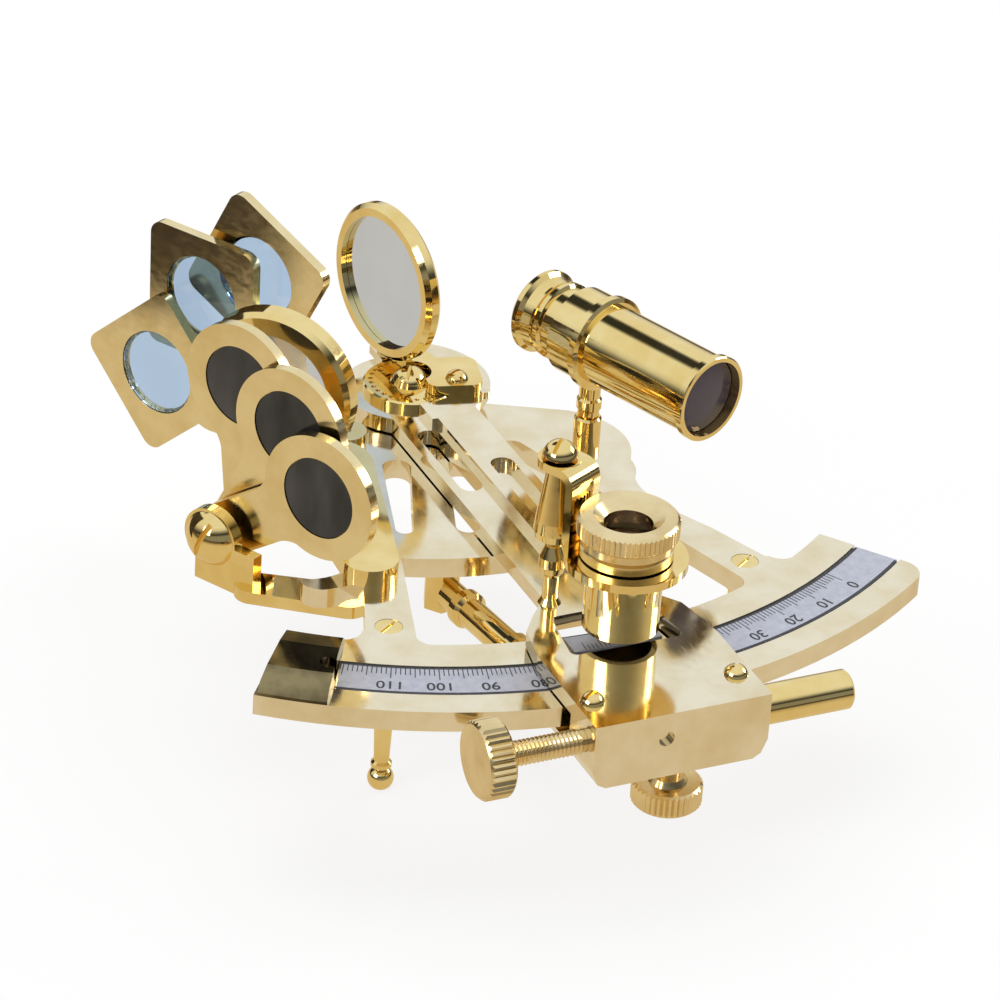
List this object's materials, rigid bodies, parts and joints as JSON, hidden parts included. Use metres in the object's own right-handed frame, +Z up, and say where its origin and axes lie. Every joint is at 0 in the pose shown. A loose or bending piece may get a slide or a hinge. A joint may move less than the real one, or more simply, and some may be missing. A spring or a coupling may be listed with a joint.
{
  "type": "sextant",
  "caption": "Small brass sextant on three feet: index arm with vernier and clamp, magnifier, telescope, two mirrors and two sets of swing shades.",
  "frame": {"origin": "centre of the rear foot's flat end, on the surface that the sextant stands on", "axes": "+Z up, +Y from the scale towards the index mirror, +X to the telescope's side"},
  "size_m": [0.1162, 0.1395, 0.0696],
  "materials": {
    "brass": "polished and lacquered",
    "knurled_brass": "knurled, satin",
    "silvered": "silvered, satin",
    "mirror": "silvered glass",
    "horizon_glass": "half silvered",
    "spring_steel": "drawn wire",
    "dark_lens": "polished",
    "smoke_glass": "polished",
    "blue_glass": "polished"
  },
  "bodies": {
    "frame": {"frame": "brass", "scale_strip": "silvered", "limb_end_cap": "brass", "front_feet": "brass", "rear_foot": "brass", "foot_screws": "brass", "handle_grip": "brass", "handle_bracket": "brass", "handle_pillar": "brass", "horizon_base": "brass", "horizon_cell": "brass", "horizon_glass": "horizon_glass", "front_shade_bracket": "brass", "front_shade_axle": "brass", "rear_shade_bracket": "brass", "rear_shade_axle": "brass", "shade_nuts": "brass", "telescope_post": "brass"},
    "index_arm": {"index_arm": "brass", "arm_rail": "brass", "pivot_shaft": "brass", "pivot_nut": "brass", "pivot_cap": "brass", "vernier_scale": "silvered", "index_mirror_cell": "brass", "index_mirror_glass": "mirror", "index_mirror_bracket": "brass", "mirror_bracket_screw": "brass", "clamp_block": "brass", "block_screws": "brass", "spring_tube": "brass", "tangent_spring": "spring_steel", "clamp_shoe": "brass", "magnifier_post": "brass", "magnifier_cap_screw": "brass"},
    "tangent_screw": {"tangent_screw": "knurled_brass"},
    "clamp_screw": {"clamp_screw": "knurled_brass"},
    "magnifier_arm": {"magnifier_arm": "brass"},
    "magnifier_tube": {"magnifier_tube": "brass", "magnifier_eyepiece": "knurled_brass", "magnifier_lens": "dark_lens"},
    "telescope": {"telescope_collar": "brass", "telescope_tube": "brass", "objective_lens": "dark_lens"},
    "draw_tube": {"draw_tube": "brass", "telescope_eyepiece": "brass", "eye_lens": "dark_lens"},
    "front_shade_1": {"front_shade_1": "brass", "front_glass_1": "smoke_glass"},
    "rear_shade_1": {"rear_shade_1": "brass", "rear_glass_1": "blue_glass"},
    "front_shade_2": {"front_shade_2": "brass", "front_glass_2": "smoke_glass"},
    "rear_shade_2": {"rear_shade_2": "brass", "rear_glass_2": "blue_glass"},
    "front_shade_3": {"front_shade_3": "brass", "front_glass_3": "smoke_glass"},
    "rear_shade_3": {"rear_shade_3": "brass", "rear_glass_3": "blue_glass"}
  },
  "joints": [
    {"name": "index_arm_swing", "type": "hinge", "parent": "frame", "child": "index_arm", "pos_m": [0, -0.011, 0.03], "axis": [0, 0, 1], "range_deg": [-16, 18]},
    {"name": "tangent_screw_turn", "type": "hinge", "parent": "index_arm", "child": "tangent_screw", "pos_m": [-0.033, -0.114, 0.0284], "axis": [1, 0, 0], "continuous": true},
    {"name": "clamp_screw_turn", "type": "hinge", "parent": "index_arm", "child": "clamp_screw", "pos_m": [0.005, -0.1053, 0.01], "axis": [0, 0, 1], "range_deg": [0, 180]},
    {"name": "magnifier_swing", "type": "hinge", "parent": "index_arm", "child": "magnifier_arm", "pos_m": [-0.0064, -0.0821, 0.058], "axis": [0, 0, 1], "range_deg": [-50, 20]},
    {"name": "magnifier_focus", "type": "slide", "parent": "magnifier_arm", "child": "magnifier_tube", "axis": [0, 0, 1], "range_m": [0, 0.003]},
    {"name": "telescope_swivel", "type": "hinge", "parent": "frame", "child": "telescope", "pos_m": [0.0199, -0.0393, 0.0394], "axis": [0, 0, 1], "range_deg": [-130, 35]},
    {"name": "draw_tube_slide", "type": "slide", "parent": "telescope", "child": "draw_tube", "axis": [0.3469, -0.9379, 0], "range_m": [-0.008, 0.0025]},
    {"name": "front_shade_1_swing", "type": "hinge", "parent": "frame", "child": "front_shade_1", "pos_m": [-0.047, -0.0445, 0.0325], "axis": [-0.8746, -0.4848, 0], "range_deg": [-55, 5]},
    {"name": "front_shade_2_swing", "type": "hinge", "parent": "frame", "child": "front_shade_2", "pos_m": [-0.047, -0.0445, 0.0325], "axis": [-0.8746, -0.4848, 0], "range_deg": [-30, 30]},
    {"name": "front_shade_3_swing", "type": "hinge", "parent": "frame", "child": "front_shade_3", "pos_m": [-0.047, -0.0445, 0.0325], "axis": [-0.8746, -0.4848, 0], "range_deg": [-5, 60]},
    {"name": "rear_shade_1_swing", "type": "hinge", "parent": "frame", "child": "rear_shade_1", "pos_m": [-0.0282, -0.0153, 0.033], "axis": [-0.8746, -0.4848, 0], "range_deg": [-85, 0]},
    {"name": "rear_shade_2_swing", "type": "hinge", "parent": "frame", "child": "rear_shade_2", "pos_m": [-0.0282, -0.0153, 0.033], "axis": [-0.8746, -0.4848, 0], "range_deg": [-43, 42]},
    {"name": "rear_shade_3_swing", "type": "hinge", "parent": "frame", "child": "rear_shade_3", "pos_m": [-0.0282, -0.0153, 0.033], "axis": [-0.8746, -0.4848, 0], "range_deg": [-15, 70]}
  ]
}
